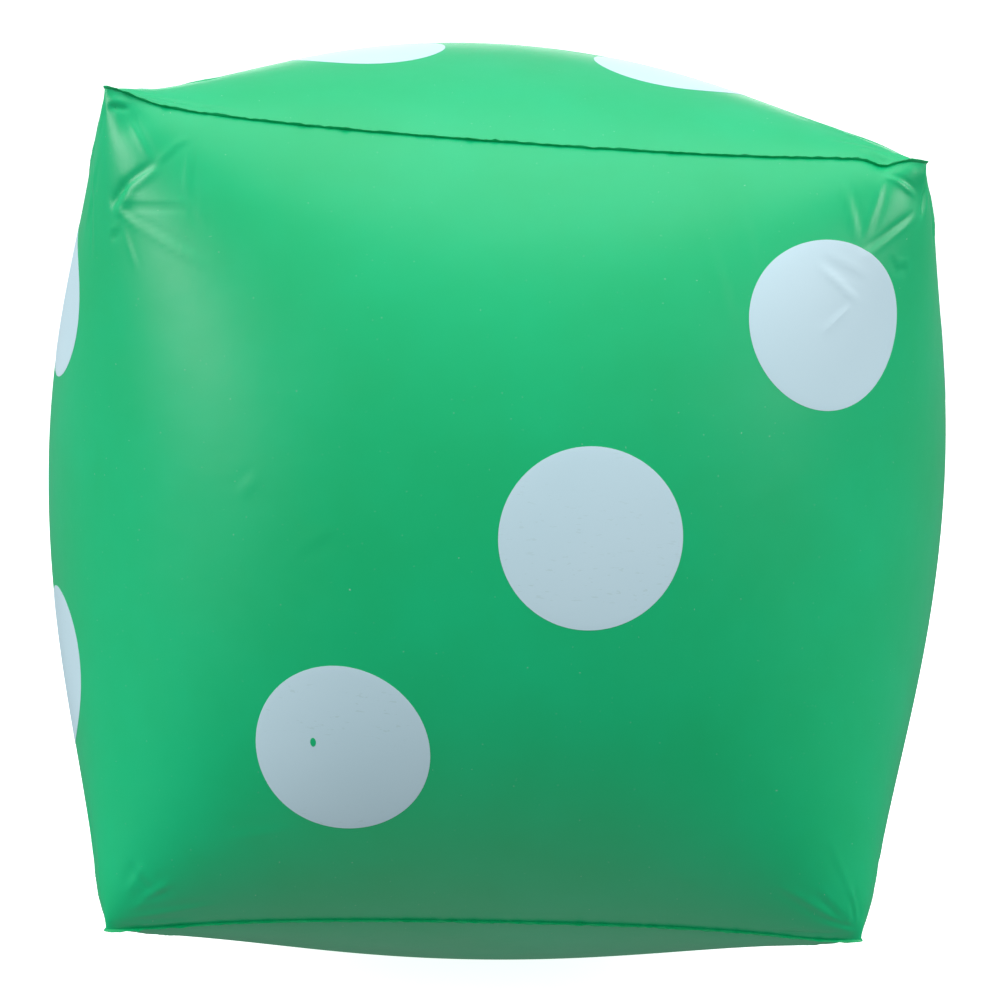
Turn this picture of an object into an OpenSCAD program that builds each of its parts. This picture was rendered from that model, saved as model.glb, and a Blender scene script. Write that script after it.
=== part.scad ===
// Inflatable die: three welded film panels, printed pips and a push-in air valve.
// Units are millimetres. +Z is up, the face with three pips looks along -Y,
// and the origin is the middle of the patch of film that the die rests on.

/* [Film] */
// Side of the flat square that each face is cut to
panel_side = 350; // [300:10:420]
// Thickness of the film
film = 0.2; // [0.15:0.05:0.4]
// Cells along one side of a face
cells = 16; // [10:2:18]

/* [Inflation] */
// How far air pressure lifts the middle of a face above its edges
face_bulge = 68; // [50:1:75]
// How far the middle of an edge is drawn in
edge_pull = 6.5; // [4:0.5:12]
// How far the weight of the die flattens the underside
rest_press = 2.2; // [1.8:0.1:3]

/* [Print] */
// Radius of a pip
pip_r = 35.5; // [30:0.5:36]
// Distance of the outer pips from the middle of their face, along each side
pip_pitch = 90; // [80:1:92]
// How much wider than tall the layout of the print on the side band is
print_wide = 1.08; // [1:0.01:1.08]
// How much wider than tall a pip on the side band is
pip_wide = 1.03; // [1:0.01:1.08]
// Half the distance between the two rows of the six
six_pitch = 69; // [60:1:90]
// Distance of the five's outer pips from the middle of their face, along each side
five_pitch = 82; // [75:1:92]
// Sideways offset of the print on the front, right, back and left
side_shift = [35, 24, 24, 18]; // [0:1:35]
// Upward offset of the print on the side band
side_rise = 10; // [0:1:20]
// Offset of the print on the top, towards the back
top_shift = 9; // [0:1:20]

/* [Welds] */
// How far the trimmed weld stands out of the seam
weld_lip = 1.4; // [1:0.1:3]
// Width of the lap where the ends of the side band are joined
lap_w = 9; // [6:1:14]

/* [Valve] */
// Outer radius of the flange that is welded to the film
flange_r = 17; // [15:1:20]
// Radius of the hole that the stem sinks into
well_r = 8.2; // [8:0.1:9]
// Outer radius of the stem
stem_r = 5.5; // [5.2:0.1:6]
// Length of the stem
stem_len = 13; // [12:0.5:16]
// Radius of the bore that takes an air pump's nozzle
nozzle_r = 3; // [2.5:0.1:3.2]
// Radius of the wider bore that takes the plug
plug_bore_r = 3.6; // [3.5:0.1:3.8]
// Length of the plug's pin
pin_len = 4.5; // [4:0.1:4.6]

/* [Hidden] */
$fn = 64;

// Inflated shape, as fitted to a membrane under even pressure
pull_power = 2;                     // how sharply an edge returns to its corner
bulge_power = 0.9;                  // how flat the crown of a face is
across_pull = -2.4;                 // lateral draw of the film towards a face's middle
across_stretch = 19.4;              // lateral spread of the film near a face's middle

ink = 0.15;                         // thickness of a printed pip
ink_gap = 0.05;                     // keeps the print clear of the faceted film
pip_rings = 3;                      // rings of facets in a pip
pip_steps = 24;                     // facets round a pip
weld_root = 0.35;                   // how far a weld reaches into the two panels
weld_t = 0.3;                       // half the thickness of a weld
lap_u = -0.93;                      // where the lap lies across the back face
lap_cols = 2;                       // facets across the lap

GREEN = [0.05, 0.66, 0.38];
DARK_GREEN = [0.03, 0.50, 0.27];
WHITE = [0.80, 0.87, 0.91];
CLEAR = [0.86, 0.90, 0.90];

half = panel_side / 2;              // also how far a corner lies from the three middle planes
crest = half - 2 * edge_pull + face_bulge;      // height of a face's crown above the die's middle
base = crest - rest_press;                      // height of the die's middle above the ground
mid_z = base + ink;
// millimetres to one unit of u at the crown of a face
crown_slope = half - edge_pull + across_pull + across_stretch;
// radius of the film's curve at the crown of a face
crown_r = pow(crown_slope, 2) / (2 * bulge_power * face_bulge - 2 * pull_power * edge_pull);

// Valve: heights along its axis, from the crown of the back face outwards
flange_t = 0.9;                     // thickness of the flange
sleeve_t = 0.6;                     // wall of the sleeve that carries the stem
sleeve_reach = 0.6;                 // how far the sleeve's rim runs under the flange
sleeve_rim = 1;                     // thickness of that rim
sleeve_foot = 1;                    // height of the band that joins the sleeve to the stem
collar_r = 7.4;                     // rim of the stem
collar_t = 1.2;                     // thickness of that rim
stem_top = flange_t;                // the stem is pushed in flush with the flange
stem_end = stem_top - stem_len;
cap_r = 6.5;                        // head of the plug
cap_t = 1.3;                        // thickness of that head
cap_gap = 0.05;                     // clearance under the head
pin_tip_r = 2;                      // radius of the tip of the plug's pin
fit_gap = 0.1;                      // clearance round a pin or a sleeve
end_gap = 0.2;                      // clearance beyond the end of the pin and behind the flap
strap_w = 5;                        // width of the tether
strap_t = 0.8;                      // thickness of the plug's ear
web_t = 0.5;                        // thickness of the living hinge
hinge_x = 7.1;                      // distance of the living hinge from the axis
hinge_z = stem_top + 0.35;          // height of the living hinge
flap_t = 0.5;                       // thickness of the check flap
flap_r = stem_r - 0.7;              // radius of the check flap
tail_w = 5;                         // width of the tail that the flap hangs from
rim_step = 0.5;                     // how much thinner the flange is at its rim

// ---- shape of the inflated film ----

// How far an edge lies from the middle plane, at t from -1 to 1 along it
function edge_at(t) = half - edge_pull * pow(max(0, 1 - t * t), pull_power);

function fade(t) = max(0, 1 - t * t);

// Sideways place of film point u, on the line v, before it is moved inwards
function across(u, v) = u * (edge_at(v) + across_pull * fade(u) + across_stretch * fade(u) * fade(v));

// Height of the film above the middle of the die at u, v
function lift(u, v) = edge_at(u) + edge_at(v) - half + face_bulge * pow(fade(u) * fade(v), bulge_power);

// A point of a face that looks along +Z. A positive depth goes into the die.
function face_point(u, v, depth = 0) =
    [across(u, v) - u * depth, across(v, u) - v * depth, lift(u, v) - depth];

// A point of side 0 front, 1 right, 2 back or 3 left
function side_point(side, u, v, depth = 0) =
    let (p = face_point(u, v, depth), a = 90 * side)
    [p[0] * cos(a) + p[2] * sin(a), p[0] * sin(a) - p[2] * cos(a), p[1]];

// A point of the underside. The ground flattens its crown.
function under_point(u, v, depth = 0) =
    let (p = face_point(u, v, depth))
    [p[0], -p[1], -min(p[2], base - depth)];

// The die's faces by name
function film_point(face, u, v, depth = 0) =
    face == "top" ? face_point(u, v, depth)
    : face == "under" ? under_point(u, v, depth)
    : side_point(face, u, v, depth);

// ---- grids and shells ----

// Triangles of a sheet of points, rows by columns, starting at index start
function sheet_faces(rows, cols, start, flip) = [
    for (j = [0 : rows - 2], i = [0 : cols - 2])
        let (a = start + j * cols + i, b = a + 1, c = a + cols, d = c + 1)
        each (flip ? [[a, b, c], [b, d, c]] : [[a, c, b], [b, c, d]])
];

// Indices round the border of a sheet, anticlockwise
function border(rows, cols) = [
    each [for (i = [0 : cols - 2]) i],
    each [for (j = [0 : rows - 2]) j * cols + cols - 1],
    each [for (i = [cols - 1 : -1 : 1]) (rows - 1) * cols + i],
    each [for (j = [rows - 1 : -1 : 1]) j * cols]
];

// A patch of a face from u0, v0 to u1, v1, between two depths
module patch(face, u0, u1, v0, v1, cols, rows, outside, inside) {
    m = (cols + 1) * (rows + 1);
    layer = function (depth) [
        for (j = [0 : rows], i = [0 : cols])
            film_point(face, u0 + (u1 - u0) * i / cols, v0 + (v1 - v0) * j / rows, depth)
    ];
    edge = border(rows + 1, cols + 1);
    n = len(edge);
    rim = [
        for (i = [0 : n - 1]) let (a = edge[i], b = edge[(i + 1) % n])
            each [[a, b, m + b], [a, m + b, m + a]]
    ];
    polyhedron(
        points = concat(layer(outside), layer(inside)),
        faces = concat(
            sheet_faces(rows + 1, cols + 1, 0, false),
            sheet_faces(rows + 1, cols + 1, m, true),
            rim
        )
    );
}

module centred() translate([0, 0, mid_z]) children();

// ---- film panels ----

// One wrap-around strip. The hole for the valve is left open at the crown of the back face.
module band_strip() {
    n = 4 * cells;
    hole_u = (well_r + 1) / crown_slope;
    hub = [2 * cells + cells / 2, cells / 2];
    square = [[1, 0], [1, 1], [0, 1], [-1, 1], [-1, 0], [-1, -1], [0, -1], [1, -1]];
    turns = 3 * len(square);
    grid = n * (cells + 1);
    m = grid + turns;
    layer = function (depth) concat(
        [
            for (j = [0 : cells], i = [0 : n - 1])
                side_point(floor(i / cells), 2 * (i % cells) / cells - 1, 2 * j / cells - 1, depth)
        ],
        [
            for (k = [0 : turns - 1]) let (a = 360 * k / turns)
                side_point(2, hole_u * cos(a), hole_u * sin(a), depth)
        ]
    );
    // triangles of the outer film, clockwise from outside
    skin = concat(
        [
            for (j = [0 : cells - 1], i = [0 : n - 1])
                let (a = j * n + i, b = j * n + (i + 1) % n, c = a + n, d = b + n)
                if (abs(i + 0.5 - hub[0]) > 1 || abs(j + 0.5 - hub[1]) > 1)
                    each [[a, c, b], [b, c, d]]
        ],
        [
            for (o = [0 : len(square) - 1])
                let (
                    s = square[o], t = square[(o + 1) % len(square)],
                    a = (hub[1] + s[1]) * n + hub[0] + s[0],
                    b = (hub[1] + t[1]) * n + hub[0] + t[0],
                    h = grid + 3 * o, g = grid + (3 * o + 3) % turns
                )
                each [[a, h, h + 1], [a, h + 1, h + 2], [a, h + 2, b], [b, h + 2, g]]
        ]
    );
    // open borders of the outer film, with the film on their left
    borders = concat(
        [for (i = [0 : n - 1]) [i, (i + 1) % n]],
        [for (i = [0 : n - 1]) [cells * n + (i + 1) % n, cells * n + i]],
        [for (k = [0 : turns - 1]) [grid + (k + 1) % turns, grid + k]]
    );
    polyhedron(
        points = concat(layer(0), layer(film)),
        faces = concat(
            skin,
            [for (t = skin) [m + t[0], m + t[2], m + t[1]]],
            [for (e = borders) each [[e[0], e[1], m + e[1]], [e[0], m + e[1], m + e[0]]]]
        )
    );
}

module side_band() color(GREEN) centred() band_strip();

module top_panel()
    color(GREEN) centred()
        patch("top", -1, 1, -1, 1, cells, cells, 0, film);

module bottom_panel()
    color(GREEN) centred()
        patch("under", -1, 1, -1, 1, cells, cells, 0, film);

// ---- welds ----

// Points along the seam that closes the top or, with sign -1, the underside
function seam(sign) = [
    for (side = [0 : 3], i = [0 : cells - 1]) side_point(side, 2 * i / cells - 1, sign)
];

module weld(sign) {
    path = seam(sign);
    n = len(path);
    section = [[-weld_root, 0], [weld_lip * 0.3, -weld_t], [weld_lip, -weld_t * 0.6],
               [weld_lip, weld_t * 0.6], [weld_lip * 0.3, weld_t]];
    m = len(section);
    points = [
        for (i = [0 : n - 1])
            let (
                out = path[i] / norm(path[i]),
                along = path[(i + 1) % n] - path[(i + n - 1) % n],
                flat = cross(along, out),
                across = flat / norm(flat)
            )
            for (s = section) path[i] + out * s[0] + across * s[1]
    ];
    tris = [
        for (i = [0 : n - 1], j = [0 : m - 1])
            let (k = (i + 1) % n, l = (j + 1) % m, a = i * m + j, b = k * m + j, c = i * m + l, d = k * m + l)
            each [[a, b, c], [c, b, d]]
    ];
    centred() polyhedron(points = points, faces = tris);
}

module top_weld() color(DARK_GREEN) weld(1);

module bottom_weld() color(DARK_GREEN) weld(-1);

module band_lap()
    color(DARK_GREEN) centred()
        patch(2, lap_u, lap_u + lap_w / half, -0.985, 0.985, lap_cols, cells, -ink_gap - film, -ink_gap);

// ---- printed pips ----

// Places of the pips of a face, as steps of one pitch from its middle
function spots(count) =
    count == 2 ? [[-1, 1], [1, -1]]
    : count == 3 ? [[-1, -1], [0, 0], [1, 1]]
    : count == 4 ? [for (u = [-1, 1], v = [-1, 1]) [u, v]]
    : count == 5 ? concat([[0, 0]], spots(4))
    : [for (u = [-1, 1], v = [-1, 0, 1]) [u, v]];

// One printed disc that follows the film, with its middle and its two radii in half sides
module pip(face, at, radius) {
    n = pip_steps;
    layer = function (depth) [
        for (j = [1 : pip_rings], i = [0 : n - 1])
            let (a = 360 * i / n, q = j / pip_rings)
            film_point(face, at[0] + q * radius[0] * cos(a), at[1] + q * radius[1] * sin(a), depth)
    ];
    outer = layer(-ink_gap - ink);
    inner = layer(-ink_gap);
    m = pip_rings * n;
    hub = [film_point(face, at[0], at[1], -ink_gap - ink), film_point(face, at[0], at[1], -ink_gap)];
    fan = [
        for (i = [0 : n - 1]) let (k = (i + 1) % n)
            each [[2 * m, k, i], [2 * m + 1, m + i, m + k]]
    ];
    rings = [
        for (j = [0 : pip_rings - 2], i = [0 : n - 1])
            let (k = (i + 1) % n, a = j * n + i, b = j * n + k, c = a + n, d = b + n)
            each [[a, b, c], [b, d, c], [m + a, m + c, m + b], [m + b, m + c, m + d]]
    ];
    rim = [
        for (i = [0 : n - 1]) let (k = (i + 1) % n, e = (pip_rings - 1) * n)
            each [[e + i, e + k, m + e + i], [e + k, m + e + k, m + e + i]]
    ];
    polyhedron(points = concat(outer, inner, hub), faces = concat(fan, rings, rim));
}

// All the pips of one face
module face_pips(face, count) {
    wide = is_num(face) ? print_wide : 1;
    r_wide = is_num(face) ? pip_wide : 1;
    step = count == 5 ? five_pitch : pip_pitch;
    pitch = [count == 6 ? six_pitch : step * wide, step];
    shift = is_num(face) ? [side_shift[face], side_rise] : [0, top_shift];
    color(WHITE) centred()
        for (at = spots(count))
            pip(
                face,
                [at[0] * pitch[0] + shift[0], at[1] * pitch[1] + shift[1]] / half,
                [pip_r * r_wide, pip_r] / half
            );
}

// The pip that the die rests on lies flat on the ground
module pip_one() color(WHITE) cylinder(h = ink, r = pip_r * crown_slope / half);

module pips_two() face_pips(1, 2);

module pips_three() face_pips(0, 3);

module pips_four() face_pips(2, 4);

module pips_five() face_pips(3, 5);

module pips_six() face_pips("top", 6);

// ---- air valve ----

// Puts a valve part, drawn along +Z, on the crown of the back face
module valve_place() translate([0, crest, 0]) rotate([-90, 0, 0]) children();

// Drop of the film at radius r from the valve's axis
function crown_drop(r) = r * r / (2 * crown_r);

module valve_flange() {
    steps = 6;
    radii = [for (i = [0 : steps]) well_r + (flange_r - well_r) * i / steps];
    top = [for (i = [0 : steps]) [radii[i], flange_t - crown_drop(radii[i]) - (i == steps ? rim_step : 0)]];
    under = [for (i = [steps : -1 : 0]) [radii[i], ink_gap - crown_drop(radii[i])]];
    color(CLEAR) centred() valve_place() rotate_extrude() polygon(concat(top, under));
}

// Soft cone that joins the flange's hole to the foot of the stem, and turns inside out with it
module valve_sleeve() {
    outer_r = well_r + sleeve_reach;
    foot_r = stem_r + fit_gap;
    foot = stem_end + end_gap;
    wall = [
        [outer_r, 0], [well_r - fit_gap, -sleeve_t], [foot_r, foot + sleeve_foot],
        [foot_r, foot], [foot_r + sleeve_t, foot], [outer_r, -sleeve_rim]
    ];
    color(CLEAR) centred() valve_place() rotate_extrude() polygon(wall);
}

module valve_stem()
    color(CLEAR) centred() valve_place()
        difference() {
            union() {
                translate([0, 0, stem_end]) cylinder(h = stem_len, r = stem_r);
                translate([0, 0, stem_top - collar_t]) cylinder(h = collar_t, r = collar_r);
            }
            translate([0, 0, stem_end - 1]) cylinder(h = stem_len + 2, r = nozzle_r);
            translate([0, 0, stem_top - pin_len - end_gap]) cylinder(h = pin_len + 1, r = plug_bore_r);
        }

// Soft tongue that air pressure holds against the inner end of the stem
module check_flap()
    color(CLEAR) centred() valve_place()
        translate([0, 0, stem_end - end_gap - flap_t]) {
            cylinder(h = flap_t, r = flap_r);
            translate([-tail_w / 2, -stem_r, 0]) cube([tail_w, tail_w / 2, flap_t]);
        }

// Thin web that bends as the plug swings out
module plug_tether()
    color(CLEAR) centred() valve_place()
        translate([-strap_w / 2, hinge_x - web_t / 2, stem_top + cap_gap / 2])
            cube([strap_w, web_t, hinge_z - stem_top]);

module valve_plug()
    color(CLEAR) centred() valve_place() {
        translate([0, 0, stem_top + cap_gap]) {
            translate([0, 0, -pin_len]) cylinder(h = pin_len, r1 = pin_tip_r, r2 = plug_bore_r - fit_gap);
            cylinder(h = cap_t, r = cap_r);
        }
        // ear that reaches from the head to the living hinge
        translate([-strap_w / 2, cap_r - strap_t, hinge_z + cap_gap])
            cube([strap_w, hinge_x - cap_r + strap_t, strap_t]);
    }

side_band();
top_panel();
bottom_panel();
top_weld();
bottom_weld();
band_lap();
pip_one();
pips_two();
pips_three();
pips_four();
pips_five();
pips_six();
valve_flange();
valve_sleeve();
valve_stem();
check_flap();
plug_tether();
valve_plug();
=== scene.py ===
"""Inflatable die: welded film, printed pips and a push-in air valve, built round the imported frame.

Metres, +Z up. The film starts as its flat pattern and is blown up by a small membrane solver.
Places on the film are pattern places: u and v in metres from the middle of a face, u to the
right and v up as the face is seen from outside. Faces 0 to 3 are front, right, back and left.
"""
import math

import bpy
import numpy as np
from mathutils import Matrix, Vector


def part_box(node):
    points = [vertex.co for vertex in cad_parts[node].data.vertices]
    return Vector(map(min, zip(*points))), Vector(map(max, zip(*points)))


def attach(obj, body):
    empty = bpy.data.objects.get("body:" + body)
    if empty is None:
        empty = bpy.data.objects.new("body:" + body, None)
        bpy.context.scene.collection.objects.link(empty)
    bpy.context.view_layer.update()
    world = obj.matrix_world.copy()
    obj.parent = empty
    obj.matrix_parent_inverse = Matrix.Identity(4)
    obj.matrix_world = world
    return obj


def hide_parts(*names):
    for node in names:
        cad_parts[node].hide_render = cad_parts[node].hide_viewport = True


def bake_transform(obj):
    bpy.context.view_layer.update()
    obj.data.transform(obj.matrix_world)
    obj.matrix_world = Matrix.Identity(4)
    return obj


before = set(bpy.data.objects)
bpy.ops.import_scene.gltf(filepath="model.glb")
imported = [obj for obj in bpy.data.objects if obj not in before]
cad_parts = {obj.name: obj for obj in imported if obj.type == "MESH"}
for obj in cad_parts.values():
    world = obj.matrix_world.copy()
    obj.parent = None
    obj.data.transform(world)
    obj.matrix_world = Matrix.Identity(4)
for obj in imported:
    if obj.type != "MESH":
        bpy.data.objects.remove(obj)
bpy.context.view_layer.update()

MM = 0.001
rng = np.random.default_rng(11)

# ---- sizes that the frame gives ----

band_low, band_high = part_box("side_band")
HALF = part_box("top_panel")[1].x                  # half the side of a flat panel
MIDDLE = (band_low.z + band_high.z) / 2          # height of the die's middle
CREST = band_high.y                              # distance of a crown from the middle
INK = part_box("pip_one")[1].z                     # thickness of the print
PORT = Vector((0, CREST, MIDDLE))                # where the valve's axis meets the back crown
FRONT, RIGHT, BACK, LEFT = range(4)

# ---- print, as it is laid out on the flat pattern ----

PIP_R = 35.5 * MM
PIP_PITCH = 90 * MM
FIVE_PITCH = 82 * MM
SIX_PITCH = 69 * MM
PRINT_WIDE = 1.08                                # the layout's width against its height
PIP_WIDE = 1.03                                  # a pip's width against its height
SIDE_SHIFT = [35 * MM, 24 * MM, 24 * MM, 18 * MM]
SIDE_RISE = 10 * MM
TOP_SHIFT = 9 * MM

# ---- film ----

CELLS = 64                 # cells of the membrane along one face
PRESSURE = 1400.0                                # pascals
STRETCH, SHEAR, BEND, SEAM = 3000.0, 1000.0, 60.0, 6000.0   # stiffness, newtons per metre
LINES = 190                                      # grid lines of the finished film along one face
CROWD = 0.82                                     # how strongly those lines crowd towards the seams
FILM_T = 0.2 * MM
PRESS = 2.2 * MM                                 # how far the die's weight flattens the crown it rests on


def numbering(n):
    """Point numbers of the side band (rows by columns) and of the top and bottom squares."""
    band_count = 4 * n * (n + 1)
    band = np.arange(band_count).reshape(n + 1, 4 * n)

    def square(row, first):
        grid = np.zeros((n + 1, n + 1), int)
        ring = band[row]
        grid[0, :] = ring[:n + 1]
        grid[:, n] = ring[n:2 * n + 1]
        grid[n, ::-1] = ring[2 * n:3 * n + 1]
        grid[::-1, 0] = ring[np.arange(3 * n, 4 * n + 1) % (4 * n)]
        grid[1:n, 1:n] = first + np.arange((n - 1) ** 2).reshape(n - 1, n - 1)
        return grid

    top = square(n, band_count)
    bottom = square(0, band_count + (n - 1) ** 2)
    return band, top, bottom, band_count + 2 * (n - 1) ** 2


def flat_box(n):
    """The pattern folded into a plain cube, before any air is let in."""
    band, top, bottom, count = numbering(n)
    points = np.zeros((count, 3))
    line = np.linspace(-HALF, HALF, n + 1)
    for column in range(4 * n):
        side, step = divmod(column, n)
        u = line[step]
        x, y = [(u, -HALF), (HALF, u), (-u, HALF), (-HALF, -u)][side]
        points[band[:, column]] = np.c_[np.full(n + 1, x), np.full(n + 1, y), line]
    x, y = np.meshgrid(line[1:-1], line[1:-1])
    for grid, z in ((top, HALF), (bottom, -HALF)):
        points[grid[1:-1, 1:-1].ravel()] = np.c_[x.ravel(), y.ravel(), np.full(x.size, z)]
    return points


def neighbours(grid, wraps, right, up):
    """Pairs of points that lie right columns and up rows apart."""
    rows = grid.shape[0]
    a, b = grid[:rows - up], grid[up:]
    if wraps:
        b = np.roll(b, -right, axis=1)
    elif right > 0:
        a, b = a[:, :-right], b[:, right:]
    elif right < 0:
        a, b = a[:, -right:], b[:, :right]
    return np.c_[a.ravel(), b.ravel()]


def cells_of(grid, wraps):
    """Four corners of each cell, anticlockwise on the page."""
    if wraps:
        grid = np.concatenate([grid, grid[:, :1]], axis=1)
    return np.stack([grid[:-1, :-1], grid[:-1, 1:], grid[1:, 1:], grid[1:, :-1]], -1).reshape(-1, 4)


def springs(n):
    """Ends, rest lengths and stiffnesses of the springs that stand for the film."""
    band, top, bottom, _ = numbering(n)
    cell = 2 * HALF / n
    diagonal = cell * math.sqrt(2)
    kinds = [(1, 0, STRETCH, cell), (0, 1, STRETCH, cell), (1, 1, SHEAR, diagonal),
             (-1, 1, SHEAR, diagonal), (2, 0, BEND, 2 * cell), (0, 2, BEND, 2 * cell)]
    made = []
    for grid, wraps in ((band, True), (top, False), (bottom, False)):
        for right, up, stiffness, length in kinds:
            made.append((neighbours(grid, wraps, right, up), stiffness, length))
    for row in (band[-1:], band[:1]):
        made.append((neighbours(row, True, 1, 0), SEAM, cell))
    ends = np.concatenate([m[0] for m in made])
    stiffness = np.concatenate([np.full(len(m[0]), m[1]) for m in made])
    length = np.concatenate([np.full(len(m[0]), m[2]) for m in made])
    return ends, stiffness, length


def relax(points, n, steps):
    """Lets the film settle between its springs and the air pressure."""
    band, top, bottom, count = numbering(n)
    ends, stiffness, length = springs(n)
    cells = np.concatenate([cells_of(band, True), cells_of(top, False), cells_of(bottom, False)[:, ::-1]])
    corners = cells.ravel()
    i, j = ends[:, 0], ends[:, 1]
    mass = np.bincount(i, stiffness, count) + np.bincount(j, stiffness, count)

    def force(p):
        span = p[j] - p[i]
        now = np.sqrt((span * span).sum(1))
        pull = (stiffness * (now - length) / now)[:, None] * span
        push = np.cross(p[cells[:, 2]] - p[cells[:, 0]], p[cells[:, 3]] - p[cells[:, 1]])
        push = np.repeat(push * (PRESSURE / 8), 4, axis=0)
        total = [
            np.bincount(i, pull[:, k], count) - np.bincount(j, pull[:, k], count)
            + np.bincount(corners, push[:, k], count)
            for k in range(3)
        ]
        return np.stack(total, 1)

    speed = np.zeros_like(points)
    step, blend, downhill = 0.5, 0.1, 0
    for _ in range(steps):
        pushed = force(points) / mass[:, None]
        if (pushed * speed * mass[:, None]).sum() > 0:
            downhill += 1
            push = max(1e-30, (pushed ** 2 * mass[:, None]).sum())
            size = np.sqrt((speed ** 2 * mass[:, None]).sum() / push)
            speed = (1 - blend) * speed + blend * size * pushed
            if downhill > 5:
                step, blend = min(step * 1.1, 1.0), blend * 0.99
        else:
            downhill, step, blend = 0, step * 0.5, 0.1
            speed[:] = 0
        speed += step * pushed
        points = points + step * speed
    return points


def refine(points, n):
    """The same film on a grid twice as fine."""
    finer = np.zeros((numbering(2 * n)[3], 3))
    for old, new, wraps in zip(numbering(n)[:3], numbering(2 * n)[:3], (True, False, False)):
        p = points[old]
        after = np.roll(p, -1, axis=1) if wraps else p[:, 1:]
        before = p if wraps else p[:, :-1]
        wide = np.empty((p.shape[0], new.shape[1], 3))
        wide[:, ::2] = p
        wide[:, 1::2] = (before + after) / 2
        tall = np.empty(new.shape + (3,))
        tall[::2] = wide
        tall[1::2] = (wide[:-1] + wide[1:]) / 2
        finer[new] = tall
    return finer


def inflate():
    """The film's points once it is full of air, about the die's middle."""
    n = 16
    points = flat_box(n)
    noise = 0.1 * MM
    steps = {16: 700, 32: 900, 64: 900}
    while True:
        points = relax(points + rng.normal(0, noise, points.shape), n, steps[n])
        if n == CELLS:
            return points - (points.max(0) + points.min(0)) / 2
        points = refine(points, n)
        n *= 2


# How this die differs from an even one, as shares of its size
NARROW, FLAT, TALL = 0.989, 0.998, 1.012         # its width, depth and height
WIDENS, THINS, DROPS = 0.021, 0.009, 0.023       # wider and less deep at the top, and lower at the right
BOWS, LEANS = 0.006, 0.005                       # bowed and leaning sideways


def lean(points):
    """This die isn't an even cube: it widens upwards, and its left side is taller."""
    x, z = points[:, 0] / HALF, points[:, 2] / HALF
    bent = points.copy()
    bent[:, 0] = points[:, 0] * (NARROW + WIDENS * z) + HALF * (BOWS * z * z - LEANS * z)
    bent[:, 1] = points[:, 1] * (FLAT - THINS * z)
    bent[:, 2] = points[:, 2] * (TALL - DROPS * x)
    return bent


def rest_on_floor(points):
    """Sets the film down in the row frame, its lowest crown pressed flat."""
    z = points[:, 2] - points[:, 2].min() - PRESS
    floor = INK + 0.1 * MM
    softness = 0.3 * MM
    over = (z - floor) / 2
    settled = points.copy()
    settled[:, 2] = floor + over + np.sqrt(over ** 2 + softness ** 2)
    return settled


def seat_valve(points):
    """Brings the back crown to the valve's flange."""
    away = points - np.array([PORT.x, PORT.y, PORT.z])
    near = (points[:, 1] > 0) & (np.hypot(away[:, 0], away[:, 2]) < 12 * MM)
    miss = CREST - points[near, 1].max()
    reach = 60 * MM
    share = np.exp(-(away[:, 0] ** 2 + away[:, 2] ** 2) / (2 * reach ** 2)) * (points[:, 1] > 0)
    seated = points.copy()
    seated[:, 1] += miss * share
    return seated


class Film:
    """The inflated film as a smooth surface over its pattern."""

    def __init__(self, points, n):
        self.n = n
        band, top, bottom, _ = numbering(n)
        self.sheets = {"band": points[band], "top": points[top], "under": points[bottom]}

    def at(self, face, u, v):
        """Points of the film, by a smooth spline between the membrane's points."""
        n = self.n
        u, v = np.broadcast_arrays(np.asarray(u, float), np.asarray(v, float))
        wraps = face not in ("top", "under")
        sheet = self.sheets["band" if wraps else face]
        x = (u + HALF) / (2 * HALF) * n + (face * n if wraps else 0)
        y = (v + HALF) / (2 * HALF) * n
        sheet = lengthen(sheet)
        if not wraps:
            sheet = lengthen(sheet.swapaxes(0, 1)).swapaxes(0, 1)
        row = np.clip(np.floor(y).astype(int), 0, n - 1)
        column = np.floor(x).astype(int)
        if not wraps:
            column = np.clip(column, 0, n - 1)
        total = 0
        for j, wy in enumerate(spline_weights(y - row)):
            for i, wx in enumerate(spline_weights(x - column)):
                across = (column + i - 1) % (4 * n) if wraps else column + i
                total = total + (wy * wx)[..., None] * sheet[row + j, across]
        return total

    def normal(self, face, u, v):
        """Outward normals of the film."""
        h = 0.8 * MM
        low_u, high_u = np.asarray(u) - h, np.asarray(u) + h
        low_v, high_v = np.clip(np.asarray(v) - h, -HALF, HALF), np.clip(np.asarray(v) + h, -HALF, HALF)
        if face in ("top", "under"):
            low_u, high_u = np.clip(low_u, -HALF, HALF), np.clip(high_u, -HALF, HALF)
        n = np.cross(self.at(face, high_u, v) - self.at(face, low_u, v),
                     self.at(face, u, high_v) - self.at(face, u, low_v))
        n /= np.linalg.norm(n, axis=-1, keepdims=True)
        return -n if face == "under" else n


def lengthen(rows):
    """One more row at each end, straight on from the last two."""
    return np.concatenate([2 * rows[:1] - rows[1:2], rows, 2 * rows[-1:] - rows[-2:-1]])


def spline_weights(t):
    """Weights of the four points round t, for a curve through the middle two."""
    return (
        0.5 * (-t + 2 * t * t - t ** 3),
        0.5 * (2 - 5 * t * t + 3 * t ** 3),
        0.5 * (t + 4 * t * t - 3 * t ** 3),
        0.5 * (-t * t + t ** 3),
    )


membrane = lean(inflate())
LEAN_MIDDLE = -membrane[:, 2].min() - PRESS      # height of the leaning die's middle above the floor
FILM = Film(seat_valve(rest_on_floor(membrane)), CELLS)

# ---- camera, as the photographer stood ----


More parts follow.
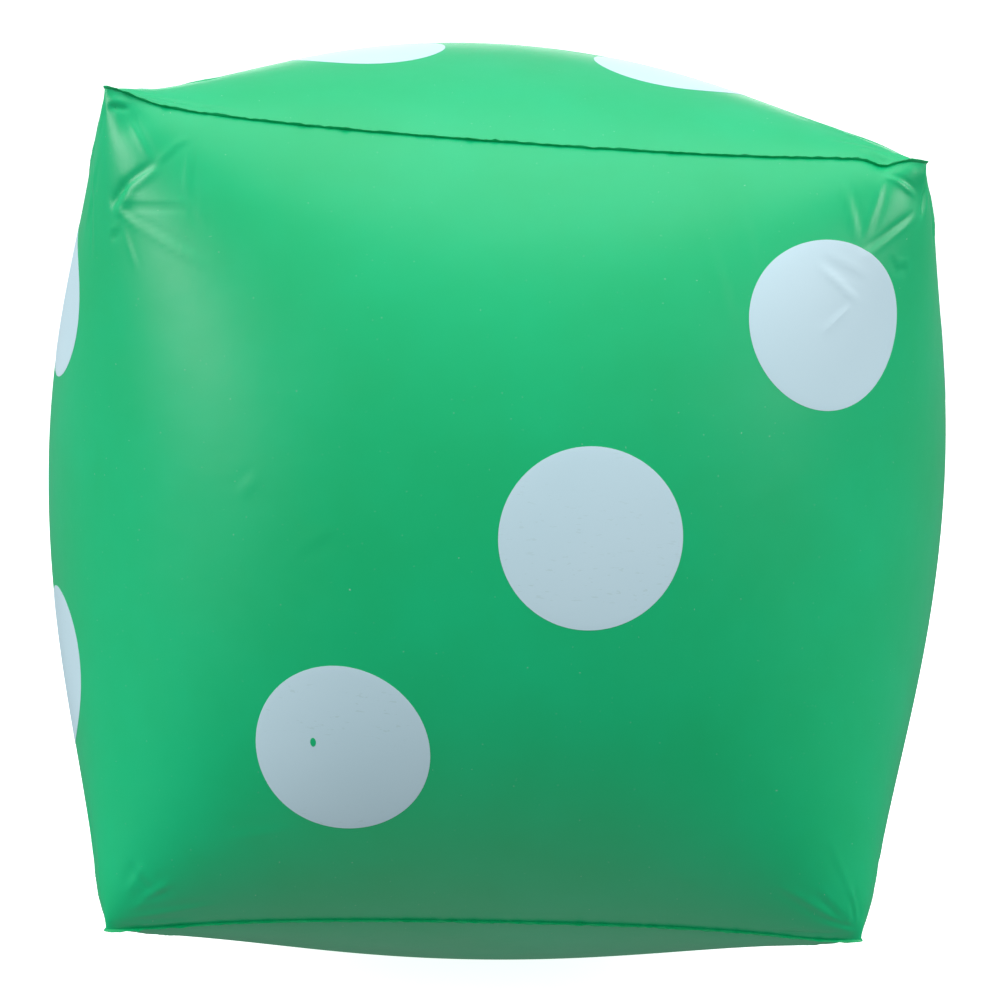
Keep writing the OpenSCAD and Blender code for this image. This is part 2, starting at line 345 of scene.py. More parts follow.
def place_camera():
    azimuth, elevation, roll = math.radians(-1.09), math.radians(6.49), math.radians(2.68)
    distance, right_shift, up_shift = 0.929, 2.9 * MM, -1.4 * MM
    back = Vector((math.sin(azimuth) * math.cos(elevation), -math.cos(azimuth) * math.cos(elevation),
                   math.sin(elevation)))
    level = Vector((math.cos(azimuth), math.sin(azimuth), 0))
    upright = back.cross(level)
    right = level * math.cos(roll) + upright * math.sin(roll)
    up = upright * math.cos(roll) - level * math.sin(roll)
    centre = Vector((0, 0, LEAN_MIDDLE))
    eye = centre + back * distance + right * right_shift + up * up_shift
    camera = bpy.data.objects.new("camera", bpy.data.cameras.new("camera"))
    camera.data.sensor_width = 36
    camera.data.lens = 62.65
    camera.data.clip_start = 0.01
    turn = Matrix((right, up, back)).transposed().to_4x4()
    camera.matrix_world = Matrix.Translation(eye) @ turn
    bpy.context.scene.collection.objects.link(camera)
    bpy.context.scene.camera = camera


place_camera()

# ---- creases, dents and pulled corners ----

# A push moves the film round a pattern place: face, from the left, from the top, move in mm, reach in mm
PUSHES = [
    (FRONT, 0, 0, (1.6, 0.5, 4.5), 13),          # the upper left corner stands out as an ear
    (FRONT, 13, 8, (0.0, 1.6, -0.8), 6),
    (FRONT, 350, 0, (-2.8, 0.0, -2.5), 16),
    (FRONT, 331, 0, (0.0, 0.8, -2.2), 5),        # tuck in the seam
    (FRONT, 343, 4, (0.0, -0.5, 0.9), 6),
    (FRONT, 346, 14, (-0.6, 1.2, 0.0), 6),
    (FRONT, 350, 350, (-1.5, 1.5, 1.5), 9),      # the lower right corner is blunt
    (FRONT, 0, 350, (1.2, 0.8, 0.8), 9),
]

# A crease runs between two pattern places: face, from the left and top, to, half width, height
CREASES = [
    (FRONT, (25, 26), (9, 36), 2.2, -1.1), (FRONT, (12, 34), (2, 43), 3.4, -1.5),
    (FRONT, (2, 7), (11, 6), 1.8, -1.0), (FRONT, (12, 9), (24, 25), 1.6, 0.45),
    (FRONT, (37, 14), (27, 25), 1.8, 0.4), (FRONT, (39, 3), (41, 42), 1.6, 0.45),
    (FRONT, (5, 43), (42, 44), 1.8, -0.4), (FRONT, (5, 44), (19, 52), 1.7, 0.5),
    (FRONT, (18, 51), (50, 66), 2.0, 0.35), (FRONT, (0, 56), (8, 53), 1.8, -0.7),
    (FRONT, (10, 54), (16, 68), 1.8, 0.3), (FRONT, (42, 44), (47, 50), 1.4, -0.3),
    (FRONT, (41, 42), (38, 38), 1.2, -0.3),
    (FRONT, (331, 8), (346, 15), 1.7, 0.8), (FRONT, (329, 11), (320, 39), 2.0, 0.6),
    (FRONT, (311, 13), (317, 38), 2.2, 0.45), (FRONT, (345, 23), (320, 43), 1.8, -0.8),
    (FRONT, (339, 48), (346, 48), 1.8, -0.7), (FRONT, (334, 44), (340, 50), 1.6, -0.4),
    (FRONT, (263, 9), (273, 52), 2.4, 0.3), (FRONT, (244, 12), (264, 80), 2.6, 0.25),
    (FRONT, (300, 51), (320, 64), 1.8, 0.35), (FRONT, (302, 48), (322, 56), 2.2, -0.25),
    (FRONT, (304, 78), (316, 66), 2.2, 0.25), (FRONT, (68, 156), (76, 148), 2.4, 0.25),
    (FRONT, (96, 178), (110, 170), 2.6, -0.22), (FRONT, (88, 186), (98, 196), 2.6, 0.2),
    (FRONT, (276, 205), (284, 182), 2.4, 0.25), (FRONT, (60, 300), (90, 292), 3.0, 0.2),
    (FRONT, (250, 296), (262, 318), 3.0, 0.2), (FRONT, (14, 318), (26, 330), 2.4, -0.4),
    (FRONT, (322, 322), (338, 338), 2.2, -0.5), (FRONT, (340, 322), (346, 340), 2.0, 0.5),
    ("top", (30, 316), (44, 308), 2.0, -0.7), ("top", (300, 310), (330, 338), 2.0, 0.6),
    ("top", (292, 300), (336, 334), 2.4, -0.4),
]


CREASING = 1.05                                  # how high creases stand
PINCH = 0.66                                     # how narrow they are


def pattern_place(right_mm, down_mm):
    """Pattern place from millimetres right of a face's left edge and below its top edge."""
    return right_mm * MM - HALF, HALF - down_mm * MM


def stray_creases():
    """Creases that every corner of such a die has where the film is gathered."""
    made = []
    side = 2 * HALF / MM
    for face in [RIGHT, BACK, LEFT, FRONT, "top", "under"]:
        for left, top in ((0, 0), (side, 0), (0, side), (side, side)):
            if face == FRONT and top == 0:
                continue
            for _ in range(5):
                angle = rng.uniform(0.15, 1.4)
                start, run = rng.uniform(6, 30), rng.uniform(10, 40)
                turn = angle + rng.uniform(-0.7, 0.7)
                a = [start * math.cos(angle), start * math.sin(angle)]
                b = [max(1.0, a[0] + run * math.cos(turn)), max(3.0, a[1] + run * math.sin(turn))]
                ends = [(abs(left - p[0]), abs(top - p[1])) for p in (a, b)]
                width = rng.uniform(1.6, 2.8)
                made.append((face, *ends, width, rng.choice([-1, 1]) * rng.uniform(0.2, 0.65)))
    return made


def shape_creases(points, normals):
    """Pushes the points along their normals where creases run."""
    height = np.zeros(len(points))
    for face, start, end, width, depth in CREASES + STRAYS:
        (u0, v0), (u1, v1) = pattern_place(*start), pattern_place(*end)
        a, b = FILM.at(face, u0, v0), FILM.at(face, u1, v1)
        out = FILM.normal(face, (u0 + u1) / 2, (v0 + v1) / 2)
        run = b - a
        length = np.linalg.norm(run)
        along = run / length
        side = np.cross(out, along)
        width = width * PINCH
        reach = 4 * width * MM
        near = np.where(np.abs(points - (a + b) / 2).max(1) < length / 2 + reach)[0]
        away = points[near] - a
        t = away @ along / length
        d = away @ side / (width * MM)
        h = away @ out
        taper = np.clip(1.2 * np.sin(np.pi * np.clip(0.5 + (t - 0.5) / 1.15, 0, 1)), 0, 1)
        fold = np.exp(-np.abs(d) ** 1.25) - 0.5 * np.exp(-((d - 2.0) / 1.2) ** 2)
        same_side = np.exp(-(h / (8 * MM)) ** 2)
        height[near] += CREASING * depth * MM * taper * fold * same_side
    return points + normals * height[:, None]


def shape_pushes(points):
    moved = points.copy()
    for face, right_mm, down_mm, move, reach in PUSHES:
        u, v = pattern_place(right_mm, down_mm)
        away = points - FILM.at(face, u, v)
        share = np.exp(-(away ** 2).sum(1) / (2 * (reach * MM) ** 2))
        moved += share[:, None] * np.array(move) * MM
    return moved


def shaped(face, u, v):
    """Finished points of the film and their normals, as flat lists."""
    u, v = np.ravel(u), np.ravel(v)
    base = FILM.at(face, u, v)
    normals = FILM.normal(face, u, v)
    return shape_pushes(shape_creases(base, normals)), normals


STRAYS = stray_creases()
line = np.linspace(-1, 1, LINES + 1)
GRADED = HALF * ((1 - CROWD) * line + CROWD * np.sin(np.pi / 2 * line))   # grid lines of the finished film


def finished_grids():
    """Points and normals of the band and of the two squares, the squares' borders on the band's."""
    columns = [shaped(face, *np.meshgrid(GRADED[:-1], GRADED)) for face in range(4)]
    shape = (LINES + 1, LINES, 3)
    band = np.concatenate([c[0].reshape(shape) for c in columns], 1)
    band_normals = np.concatenate([c[1].reshape(shape) for c in columns], 1)
    grids = {"band": (band, band_normals)}
    for face, row in (("top", -1), ("under", 0)):
        square = shaped(face, *np.meshgrid(GRADED, GRADED))
        points, normals = (a.reshape(LINES + 1, LINES + 1, 3) for a in square)
        ring = band[row]
        points[0] = ring[:LINES + 1]
        points[:, -1] = ring[LINES:2 * LINES + 1]
        points[-1, ::-1] = ring[2 * LINES:3 * LINES + 1]
        points[::-1, 0] = ring[np.arange(3 * LINES, 4 * LINES + 1) % (4 * LINES)]
        grids[face] = (points, normals)
    return grids


GRIDS = finished_grids()

# ---- mesh helpers ----


def new_piece(name, points, faces, material, body="skin", replaces=()):
    mesh = bpy.data.meshes.new(name)
    mesh.from_pydata([tuple(p) for p in points], [], [tuple(int(i) for i in f) for f in faces])
    mesh.validate()
    mesh.polygons.foreach_set("use_smooth", [True] * len(mesh.polygons))
    mesh.set_sharp_from_angle(angle=math.radians(50))
    piece = bpy.data.objects.new(name, mesh)
    bpy.context.scene.collection.objects.link(piece)
    mesh.materials.append(material)
    if body:
        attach(piece, body)
    if replaces:
        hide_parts(*replaces)
    return piece


def thick_sheet(points, normals, faces, outside, inside):
    """A sheet made into a closed slab between two heights along its normals."""
    count = len(points)
    shell = np.concatenate([points + normals * outside, points + normals * inside])
    faces = [tuple(f) for f in faces]
    edges = {}
    for f in faces:
        for a, b in zip(f, f[1:] + f[:1]):
            edges[(a, b)] = True
    rim = [(b, a, a + count, b + count) for a, b in edges if (b, a) not in edges]
    back = [tuple(i + count for i in reversed(f)) for f in faces]
    return shell, faces + back + rim


# ---- materials ----


class Nodes:
    """A small helper that adds and joins nodes."""

    def __init__(self, material):
        material.use_nodes = True
        self.tree = material.node_tree
        self.shader = self.tree.nodes["Principled BSDF"]

    def add(self, kind, links=None, **values):
        node = self.tree.nodes.new(kind)
        for key, value in values.items():
            if key in node.inputs:
                node.inputs[key].default_value = value
            else:
                setattr(node, key, value)
        for key, output in (links or {}).items():
            self.tree.links.new(output, node.inputs[key])
        return node

    def product(self, a, b):
        node = self.add("ShaderNodeMath", {0: a, 1: b}, operation="MULTIPLY")
        return node.outputs[0]

    def ramp(self, source, stops):
        node = self.add("ShaderNodeValToRGB", {"Fac": source})
        band = node.color_ramp
        while len(band.elements) < len(stops):
            band.elements.new(0.5)
        for element, (place, level) in zip(band.elements, stops):
            element.position = place
            element.color = (level, level, level, 1)
        return node.outputs["Color"]

    def mix(self, factor, a, b):
        node = self.add("ShaderNodeMix", data_type="RGBA")
        for socket, value in ((node.inputs[0], factor), (node.inputs[6], a), (node.inputs[7], b)):
            if isinstance(value, (int, float)):
                socket.default_value = value
            elif isinstance(value, tuple):
                socket.default_value = (*value, 1)
            else:
                self.tree.links.new(value, socket)
        return node.outputs[2]

    def noise(self, scale, detail=3.0, roughness=0.5, stretch=None):
        place = self.add("ShaderNodeTexCoord").outputs["Object"]
        if stretch:
            place = self.add("ShaderNodeMapping", {"Vector": place}, Scale=stretch).outputs[0]
        levels = dict(Scale=scale, Detail=detail, Roughness=roughness)
        return self.add("ShaderNodeTexNoise", {"Vector": place}, **levels).outputs["Fac"]

    def bump(self, height, strength, distance, before=None):
        links = {"Height": height}
        if before:
            links["Normal"] = before
        node = self.add("ShaderNodeBump", links, Strength=strength, Distance=distance)
        return node.outputs["Normal"]

    def join(self, output, socket):
        self.tree.links.new(output, self.shader.inputs[socket])

    def set(self, **values):
        for key, value in values.items():
            self.shader.inputs[key.replace("_", " ")].default_value = value


GREEN = (0.0, 0.50, 0.175)
PALE_GREEN = (0.0, 0.55, 0.215)
DEEP_GREEN = (0.0, 0.40, 0.125)
WHITE_INK = (0.60, 0.80, 0.88)
WORN_INK = (0.63, 0.82, 0.90)
SCRATCHED_INK = (0.42, 0.60, 0.60)
DUST = (0.30, 0.62, 0.42)
MILKY, CLEARER = (0.80, 0.86, 0.85), (0.88, 0.92, 0.92)


def green_vinyl():
    """Satin coloured film, with a faint calendered mottle, a fine grain and a few specks of dust."""
    material = bpy.data.materials.new("green_vinyl")
    n = Nodes(material)
    cloud = n.noise(9.0, 4.0, 0.6)
    tint = n.mix(n.ramp(cloud, [(0.35, 0.0), (0.7, 1.0)]), GREEN, PALE_GREEN)
    specks = n.ramp(n.noise(900.0, 1.0, 0.4), [(0.795, 0.0), (0.82, 1.0)])
    n.join(n.mix(specks, tint, DUST), "Base Color")
    rubbed = n.ramp(n.noise(26.0, 5.0, 0.7), [(0.3, 0.34), (0.75, 0.42)])
    n.join(rubbed, "Roughness")
    grain = n.bump(n.noise(1500.0, 2.0, 0.5), 0.06, 0.0002)
    n.join(n.bump(n.noise(38.0, 3.0, 0.5), 0.10, 0.002, grain), "Normal")
    n.set(IOR=1.5)
    n.shader.inputs["Subsurface Weight"].default_value = 0.06
    n.shader.inputs["Subsurface Radius"].default_value = (0.002, 0.006, 0.003)
    return material


def weld_vinyl():
    """The pressed weld: denser green, glossier, with the fine teeth of the welding bar."""
    material = bpy.data.materials.new("weld_vinyl")
    n = Nodes(material)
    n.join(n.mix(n.noise(160.0, 3.0), DEEP_GREEN, GREEN), "Base Color")
    n.join(n.ramp(n.noise(400.0), [(0.3, 0.28), (0.7, 0.42)]), "Roughness")
    n.join(n.bump(n.noise(900.0, 2.0), 0.25, 0.0004), "Normal")
    return material


def pip_ink():
    """Opaque screen ink, with faint streaks of fine flecks that run with the squeegee."""
    material = bpy.data.materials.new("pip_ink")
    n = Nodes(material)
    wash = n.mix(n.ramp(n.noise(14.0, 3.0), [(0.3, 0.0), (0.7, 1.0)]), WHITE_INK, WORN_INK)
    flecks = n.ramp(n.noise(420.0, 2.0, 0.6, stretch=(0.5, 0.5, 1.6)), [(0.64, 0.0), (0.68, 0.32)])
    streak = n.ramp(n.noise(7.0, 2.0, 0.5, stretch=(0.2, 0.2, 3.0)), [(0.52, 0.0), (0.62, 1.0)])
    rubbed = n.product(flecks, streak)
    n.join(n.mix(rubbed, wash, SCRATCHED_INK), "Base Color")
    n.join(n.ramp(n.noise(30.0, 4.0), [(0.3, 0.42), (0.7, 0.50)]), "Roughness")
    n.join(n.bump(n.noise(1300.0, 2.0), 0.08, 0.0002), "Normal")
    return material


def clear_vinyl():
    """Milky clear moulded vinyl of the valve."""
    material = bpy.data.materials.new("clear_vinyl")
    n = Nodes(material)
    n.join(n.mix(n.noise(120.0, 3.0), MILKY, CLEARER), "Base Color")
    n.join(n.ramp(n.noise(120.0, 3.0), [(0.3, 0.24), (0.7, 0.32)]), "Roughness")
    n.join(n.bump(n.noise(350.0, 2.0), 0.05, 0.0002), "Normal")
    n.shader.inputs["Transmission Weight"].default_value = 0.25
    n.set(IOR=1.5)
    return material


VINYL = green_vinyl()
WELD = weld_vinyl()
INK_PAINT = pip_ink()
CLEAR = clear_vinyl()

# ---- film panels ----


PORT_R = 11 * MM                                 # radius of the hole that the valve is let into


def film_band():
    """The side band, open where the valve is let in."""
    points, normals = (a.reshape(-1, 3) for a in GRIDS["band"])
    faces = cells_of(np.arange(len(points)).reshape(LINES + 1, 4 * LINES), True)
    away = points[faces].mean(1) - np.array(PORT)
    inside = (np.hypot(away[:, 0], away[:, 2]) <= PORT_R) & (points[faces].mean(1)[:, 1] > 0)
    faces = faces[~inside]
    points = points.copy()
    meeting = np.bincount(faces.ravel(), minlength=len(points))
    inner = np.arange(4 * LINES, len(points) - 4 * LINES)
    for i in inner[(meeting[inner] > 0) & (meeting[inner] < 4)]:   # the rim of the hole is round
        out = points[i] - np.array(PORT)
        flat = np.array([out[0], 0, out[2]])
        points[i] += flat / np.linalg.norm(flat) * (PORT_R - np.linalg.norm(flat))
    keep = np.where(meeting > 0)[0]
    renumber = np.zeros(len(points), int)
    renumber[keep] = np.arange(len(keep))
    shell, faces = thick_sheet(points[keep], normals[keep], renumber[faces].tolist(), 0, -FILM_T)
    return new_piece("film_side_band", shell, faces, VINYL, replaces=["side_band"])


def film_square(face, node):
    points, normals = (a.reshape(-1, 3) for a in GRIDS[face])
    faces = cells_of(np.arange(len(points)).reshape(LINES + 1, LINES + 1), False)
    if face == "under":
        faces = faces[:, ::-1]
    shell, faces = thick_sheet(points, normals, faces.tolist(), 0, -FILM_T)
    return new_piece("film_" + node, shell, faces, VINYL, replaces=[node])


film_band()
film_square("top", "top_panel")
film_square("under", "bottom_panel")

# ---- welds ----

WELD_LIP = 1.2 * MM
WELD_ROOT = 0.5 * MM
WELD_T = 0.20 * MM                               # half the thickness of the weld
NICK_W = 1.1 * MM
NICKS = {"top": [11, 26, 84, 103, 156, 166, 331], "under": [14, 33, 210, 318]}   # mm along the front edge


def ripple(s, length, lumps, amount):
    """A smooth uneven wave along a closed seam."""
    total = np.zeros_like(s)
    for k in rng.integers(8, lumps, 14):
        total += np.sin(2 * np.pi * (k * s / length + rng.uniform()))
    return total * amount / 4


def seam_weld(face, node, row):
    """The trimmed fin where a square is welded to the band."""
    band, band_normals = GRIDS["band"]
    path = band[row]
    square, square_normals = GRIDS[face]
    ring = np.concatenate([square_normals[0, :-1], square_normals[:-1, -1], square_normals[-1, :0:-1],
                           square_normals[:0:-1, 0]])
    step = 1.3 * MM
    gaps = np.linalg.norm(np.roll(path, -1, axis=0) - path, axis=1)
    s = np.concatenate([[0], np.cumsum(gaps)])
    length = s[-1]
    count = int(length / step)
    at = np.arange(count) * length / count

    def along_seam(values):
        closed = np.concatenate([values, values[:1]])
        return np.stack([np.interp(at, s, closed[:, k]) for k in range(3)], 1)

    def unit(vectors):
        return vectors / np.linalg.norm(vectors, axis=1, keepdims=True)

    place = along_seam(path)
    out = unit(along_seam(unit(band_normals[row] + ring)))
    forward = unit(np.roll(place, -1, axis=0) - np.roll(place, 1, axis=0))
    across = unit(np.cross(forward, out))
    lip = WELD_LIP * (1 + ripple(at, length, 400, 0.16))
    bend = ripple(at, length, 220, 0.25) * MM
    for mark in NICKS[face]:
        gone = np.exp(-((at - mark * MM) / NICK_W) ** 2)
        lip *= 1 + 0.6 * gone
        bend += (0.7 * MM if face == "top" else -0.7 * MM) * gone
    section = [(-1, 0), (0, -1), (0.7, -1), (0.97, -0.7), (1, 0), (0.97, 0.7), (0.7, 1), (0, 1)]
    rows = []
    for reach, side in section:
        depth = lip * reach if reach > 0 else np.full(count, WELD_ROOT * reach)
        sway = bend * max(reach, 0) ** 2
        rows.append(place + out * depth[:, None] + across * (side * WELD_T + sway)[:, None])
    points = np.stack(rows, 1).reshape(-1, 3)
    m = len(section)
    faces = []
    for i in range(count):
        for j in range(m):
            k, l = (i + 1) % count, (j + 1) % m
            faces.append((i * m + j, i * m + l, k * m + l, k * m + j))
    return new_piece("weld_" + node, points, faces, WELD, replaces=[node])


def band_lap():
    """The lap weld where the ends of the side band meet, at the left of the back face."""
    left, width, lines = 12 * MM - HALF, 9 * MM, 9
    hem, raised, tooth, root = 0.10 * MM, 0.32 * MM, 0.05 * MM, 0.02 * MM
    u, v = np.meshgrid(left + width * np.linspace(0, 1, lines), GRADED[1:-1])
    points, normals = shaped(BACK, u, v)
    teeth = raised + tooth * np.cos(np.arange(lines) * np.pi)
    teeth[[0, -1]] = hem
    lift = np.tile(teeth, len(GRADED) - 2)
    faces = cells_of(np.arange(len(points)).reshape(-1, lines), False)
    shell, faces = thick_sheet(points, normals, faces.tolist(), 0, root)
    shell[:len(points)] += normals * lift[:, None]
    return new_piece("weld_band_lap", shell, faces, WELD, replaces=["band_lap"])


seam_weld("top", "top_weld", -1)
seam_weld("under", "bottom_weld", 0)
band_lap()

# ---- printed pips ----

SPOTS = {
    1: [(0, 0)],
    2: [(-1, 1), (1, -1)],
    3: [(-1, -1), (0, 0), (1, 1)],
    4: [(-1, -1), (-1, 1), (1, -1), (1, 1)],
    5: [(0, 0), (-1, -1), (-1, 1), (1, -1), (1, 1)],
    6: [(u, v) for u in (-1, 1) for v in (-1, 0, 1)],
}
RINGS, STEPS = 20, 112
INK_LIFT = 0.16 * MM                             # height of the ink above the film
INK_ROOT = 0.01 * MM                             # height of its underside
INK_EDGE = 0.6                                   # height of its edge, as a share of the lift


def on_mesh(face, u, v):
    """Points on the finished film's own cells, which its smooth shape only comes close to."""
    grid = GRIDS["band"][0] if face in range(4) else GRIDS[face][0]
    start = face * LINES if face in range(4) else 0
    column = np.clip(np.searchsorted(GRADED, u, "right") - 1, 0, LINES - 1)
    row = np.clip(np.searchsorted(GRADED, v, "right") - 1, 0, LINES - 1)
    a = ((u - GRADED[column]) / (GRADED[column + 1] - GRADED[column]))[:, None]
    b = ((v - GRADED[row]) / (GRADED[row + 1] - GRADED[row]))[:, None]
    left, right = start + column, start + column + 1
    if face in range(4):
        left, right = left % (4 * LINES), right % (4 * LINES)
    low = grid[row, left] * (1 - a) + grid[row, right] * a
    high = grid[row + 1, left] * (1 - a) + grid[row + 1, right] * a
    return low * (1 - b) + high * b


def ink_disc(face, u, v, wide, radius=PIP_R, top=INK_LIFT):
    """One pip as a thin closed disc that follows the film."""
    angle = 2 * np.pi * np.arange(STEPS) / STEPS
    share = np.arange(1, RINGS + 1) / RINGS
    du = (radius * wide * share[:, None] * np.cos(angle)).ravel()
    dv = (radius * share[:, None] * np.sin(angle)).ravel()
    du, dv = np.append(du, 0), np.append(dv, 0)
    points, normals = shaped(face, u + du, v + dv)
    above = np.maximum(0, ((on_mesh(face, u + du, v + dv) - points) * normals).sum(1))
    points = points + normals * above[:, None]
    hub = len(points) - 1
    number = np.arange(hub).reshape(RINGS, STEPS)
    faces = [tuple(f) for f in cells_of(number, True)[:, ::-1].tolist()]
    faces += [(hub, i, (i + 1) % STEPS) for i in range(STEPS)]
    if face == "under":
        faces = [tuple(reversed(f)) for f in faces]
    lift = np.full(hub + 1, top)
    lift[number[-1]] = top * INK_EDGE
    shell, faces = thick_sheet(points, normals, faces, 0, INK_ROOT)
    shell[:hub + 1] += normals * lift[:, None]
    return shell, faces


def pip_centre(face, count, a, b):
    """Pattern place of the pip that is a steps right and b steps up in its face's layout."""
    on_band = face in range(4)
    step = FIVE_PITCH if count == 5 else PIP_PITCH
    pitch = SIX_PITCH if count == 6 else step * (PRINT_WIDE if on_band else 1)
    shift = (SIDE_SHIFT[face], SIDE_RISE) if on_band else (0, TOP_SHIFT if face == "top" else 0)
    return a * pitch + shift[0], b * step + shift[1]


def face_print(name, face, count, node):
    wide = PIP_WIDE if face in range(4) else 1
    points, faces = np.zeros((0, 3)), []
    for a, b in SPOTS[count]:
        disc, disc_faces = ink_disc(face, *pip_centre(face, count, a, b), wide)
        faces += [tuple(i + len(points) for i in f) for f in disc_faces]
        points = np.concatenate([points, disc])
    return new_piece(name, points, faces, INK_PAINT, replaces=[node])


def bare_fleck():
    """A spot on the lower left pip of the front where the ink is missing."""
    across, up, narrow, radius, proud = -74 * MM, -77 * MM, 0.65, 1.9 * MM, 0.05 * MM
    points, faces = ink_disc(FRONT, across, up, narrow, radius, INK_LIFT + proud)
    new_piece("bare_fleck", points, faces, VINYL)


bare_fleck()
face_print("print_one", "under", 1, "pip_one")
face_print("print_two", RIGHT, 2, "pips_two")
face_print("print_three", FRONT, 3, "pips_three")
face_print("print_four", BACK, 4, "pips_four")
face_print("print_five", LEFT, 5, "pips_five")
face_print("print_six", "top", 6, "pips_six")

# ---- valve ----

CROWN_R = 357.0                                  # radius of the film round the valve, mm
HINGE = 7.1                                      # the plug's living hinge, mm from the valve's axis
SLEEVE_FOOT = -11.9                              # depth of the sleeve's foot, mm

# Profiles are millimetres from the valve's axis, and out from the crown, anticlockwise
RING_TOP = [(17.0, 0.15), (16.6, 0.45), (15.7, 0.50), (15.4, 0.68), (14.7, 0.68), (14.4, 0.50),
            (13.2, 0.50), (12.9, 0.70), (12.2, 0.70), (11.9, 0.50), (10.9, 0.52), (10.4, 0.86),
            (10.1, 0.90), (8.4, 0.90), (8.2, 0.75)]
STEM = [(3.0, -12.1), (5.3, -12.1), (5.5, -11.9), (5.5, -0.9), (5.8, -0.45), (6.3, -0.3), (7.2, -0.3),
        (7.4, -0.1), (7.4, 0.7), (7.2, 0.9), (3.8, 0.9), (3.6, 0.7), (3.6, -3.8), (3.0, -3.9)]
PLUG = [(0, -3.55), (1.7, -3.55), (2.0, -3.3), (3.3, 0.3), (3.2, 0.8), (3.5, 0.95), (6.3, 0.95),
        (6.5, 1.15), (6.5, 2.0), (6.25, 2.25), (5.5, 2.25), (5.0, 1.85), (1.6, 1.85), (1.2, 2.05), (0, 2.1)]


def at_valve(points):
    """Places points drawn along +Z, in millimetres, at the valve."""
    return [(PORT.x + x * MM, PORT.y + z * MM, PORT.z - y * MM) for x, y, z in points]


def lathe(profile, steps=96):
    """A solid of revolution. A profile that starts on the axis also ends on it."""
    points, rows = [], []
    for r, z in profile:
        if r == 0:
            rows.append([len(points)] * steps)
            points.append((0, 0, z))
            continue
        rows.append(list(range(len(points), len(points) + steps)))
        points += [(r * math.cos(2 * math.pi * k / steps), r * math.sin(2 * math.pi * k / steps), z)
                   for k in range(steps)]
    faces = []
    last = len(rows) - 1 if profile[0][0] == 0 else len(rows)
    for i in range(last):
        low, high = rows[i], rows[(i + 1) % len(rows)]
        for k in range(steps):
            l = (k + 1) % steps
            face = [low[k], low[l], high[l], high[k]]
            faces.append(tuple(dict.fromkeys(face)))
    return points, faces


def soften(piece, width):
    """Rounds the edges of a moulded part."""
    bevel = piece.modifiers.new("soften", "BEVEL")
    bevel.width = width * MM
    bevel.segments = 3
    bevel.limit_method = "ANGLE"
    bevel.harden_normals = False


def valve_ring():
    """The moulded ring whose skirt is welded to the film."""
    under = [(r, -0.35) for r in (8.2, 10.0, 12.0, 14.0, 16.0, 17.0)]
    points, faces = lathe([(r, z - r * r / (2 * CROWN_R)) for r, z in under + RING_TOP])
    new_piece("valve_ring", at_valve(points), faces, CLEAR, "skin", ["valve_flange"])


def valve_cuff():
    """The thin wall between ring and stem, which turns inside out as the stem is pushed in."""
    share = np.linspace(0, 1, 11)
    outside = [(6.2 + 2.6 * k, SLEEVE_FOOT - (SLEEVE_FOOT + 1.0) * k) for k in share]
    inside = [(8.1 - 2.5 * k, -0.6 + (SLEEVE_FOOT + 1.6) * k) for k in share]
    points, faces = lathe([(5.6, SLEEVE_FOOT)] + outside + [(8.8, -0.35), (8.3, -0.3)] + inside)
    piece = new_piece("valve_cuff", at_valve(points), faces, CLEAR, body=None,
                      replaces=["valve_sleeve"])
    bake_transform(piece)


def valve_tube():
    """The stem, with its collar and the wider bore for the plug."""
    points, faces = lathe(STEM)
    new_piece("valve_tube", at_valve(points), faces, CLEAR, "stem", ["valve_stem"])


def valve_cap():
    """The plug: a tapered pin, a dished head and the ear that its strap holds."""
    points, faces = lathe(PLUG)
    half, low, high, taper = 2.5, 1.3, 2.1, 0.35
    first = len(points)
    for y, inset in ((5.7, 0), (6.6, 0), (HINGE, taper)):
        x, z = half - inset, high - inset
        points += [(-x, y, low), (x, y, low), (x, y, z), (-x, y, z)]
    for ring in (0, 4):
        for k in range(4):
            l = (k + 1) % 4
            a = first + ring
            faces.append((a + k, a + 4 + k, a + 4 + l, a + l))
    faces += [tuple(first + k for k in (0, 1, 2, 3)), tuple(first + 8 + k for k in (3, 2, 1, 0))]
    piece = new_piece("valve_cap", at_valve(points), faces, CLEAR, "plug", ["valve_plug"])
    soften(piece, 0.12)


valve_ring()
valve_cuff()
valve_tube()
valve_cap()
for node_name in ("check_flap", "plug_tether"):
    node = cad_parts[node_name]
    node.data.materials.clear()
    node.data.materials.append(CLEAR)
    soften(node, 0.08)

# ---- floor and light ----


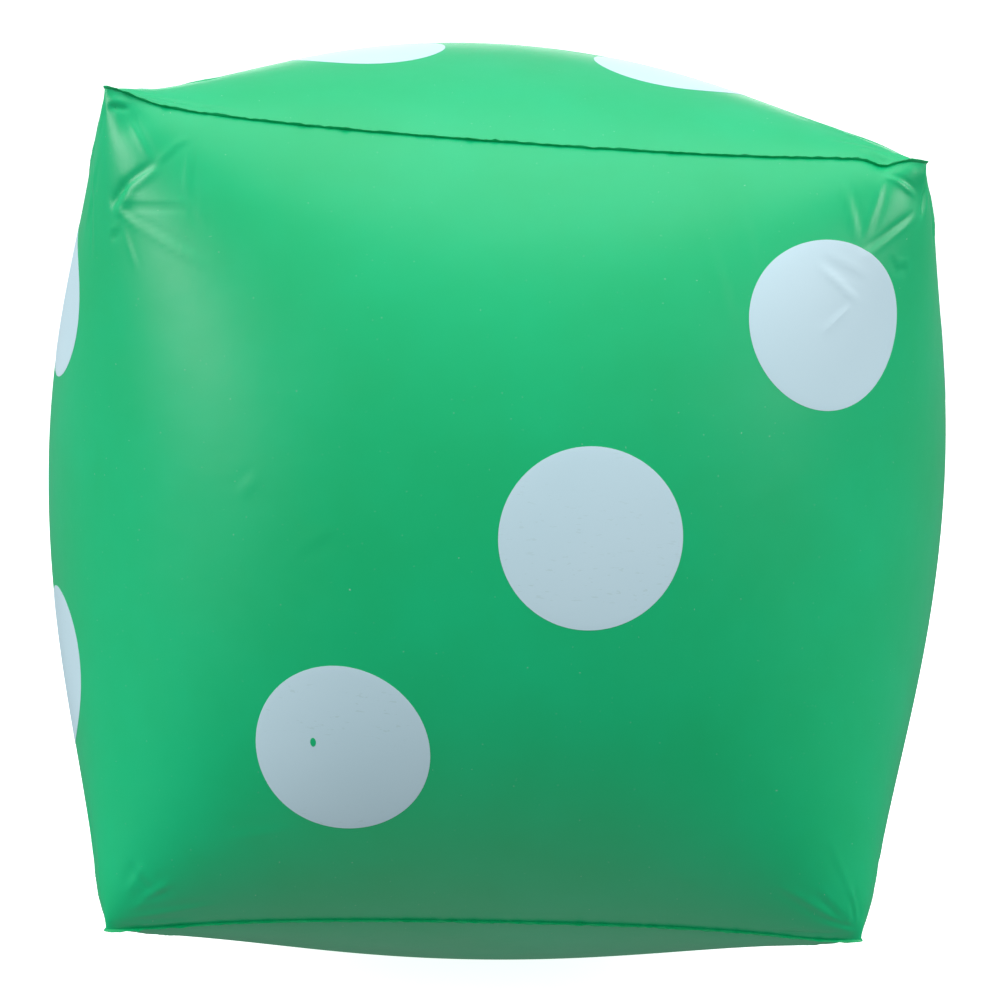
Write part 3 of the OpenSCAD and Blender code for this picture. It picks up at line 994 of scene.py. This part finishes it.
def sweep():
    """A pale round floor that curves up into a backdrop on all sides.

    It glows evenly, and it is hidden from the film's own rays, so it fills the view and does nothing else.
    """
    radius, bend, rise, steps = 6.0, 1.5, 6.0, 48
    profile = [(0.02, 0.0), (1.0, 0.0), (radius - bend, 0.0)]
    for k in range(1, 13):
        a = math.pi / 2 * k / 12
        profile.append((radius - bend + bend * math.sin(a), bend - bend * math.cos(a)))
    profile.append((radius, rise))
    points = [(r * math.cos(2 * math.pi * k / steps), r * math.sin(2 * math.pi * k / steps), z)
              for r, z in profile for k in range(steps)]
    faces = cells_of(np.arange(len(points)).reshape(-1, steps), True).tolist() + [list(range(steps))]
    material = bpy.data.materials.new("pale_floor")
    n = Nodes(material)
    n.join(n.mix(n.noise(3.0), (0.93, 0.935, 0.935), (0.96, 0.96, 0.96)), "Base Color")
    n.set(Roughness=0.9, Emission_Strength=0.9)
    n.shader.inputs["Emission Color"].default_value = (1, 1, 1, 1)
    piece = new_piece("floor", points, faces, material, body=None)
    piece.visible_diffuse = piece.visible_glossy = piece.visible_shadow = False


def area_light(name, place, target, size, power):
    light = bpy.data.lights.new(name, "AREA")
    light.shape = "RECTANGLE"
    light.size, light.size_y = size
    light.energy = power
    lamp = bpy.data.objects.new(name, light)
    lamp.location = place
    aim = Vector(target) - Vector(place)
    lamp.rotation_euler = aim.to_track_quat("-Z", "Y").to_euler()
    bpy.context.scene.collection.objects.link(lamp)


def studio():
    """A sky that is brightest overhead, a box on each side, and weak boxes above and behind."""
    world = bpy.data.worlds.new("studio")
    bpy.context.scene.world = world
    world.use_nodes = True
    tree = world.node_tree
    place = tree.nodes.new("ShaderNodeTexCoord")
    split = tree.nodes.new("ShaderNodeSeparateXYZ")
    height = tree.nodes.new("ShaderNodeMapRange")
    height.inputs["From Min"].default_value = -1
    levels = tree.nodes.new("ShaderNodeValToRGB")
    stops = [(0.0, 0.62), (0.20, 0.20), (0.48, 0.25), (0.95, 0.70)]
    while len(levels.color_ramp.elements) < len(stops):
        levels.color_ramp.elements.new(0.5)
    for element, (position, level) in zip(levels.color_ramp.elements, stops):
        element.position = position
        element.color = (level, level, level, 1)
    tree.links.new(place.outputs["Generated"], split.inputs[0])
    tree.links.new(split.outputs["Z"], height.inputs["Value"])
    tree.links.new(height.outputs["Result"], levels.inputs["Fac"])
    tree.links.new(levels.outputs["Color"], tree.nodes["Background"].inputs["Strength"])
    tree.nodes["Background"].inputs["Color"].default_value = (0.9, 0.97, 1.0, 1)
    middle = (0, 0, MIDDLE)
    area_light("overhead", (0, -0.4, 2.0), middle, (1.6, 1.4), 9)
    area_light("behind", (0, 2.4, 1.1), middle, (2.4, 0.8), 14)
    area_light("left", (-1.95, -0.95, 1.15), middle, (1.1, 1.6), 34)
    area_light("right", (1.85, -0.95, 1.35), middle, (1.0, 1.4), 27)
    bpy.context.scene.view_settings.view_transform = "Standard"


sweep()
studio()
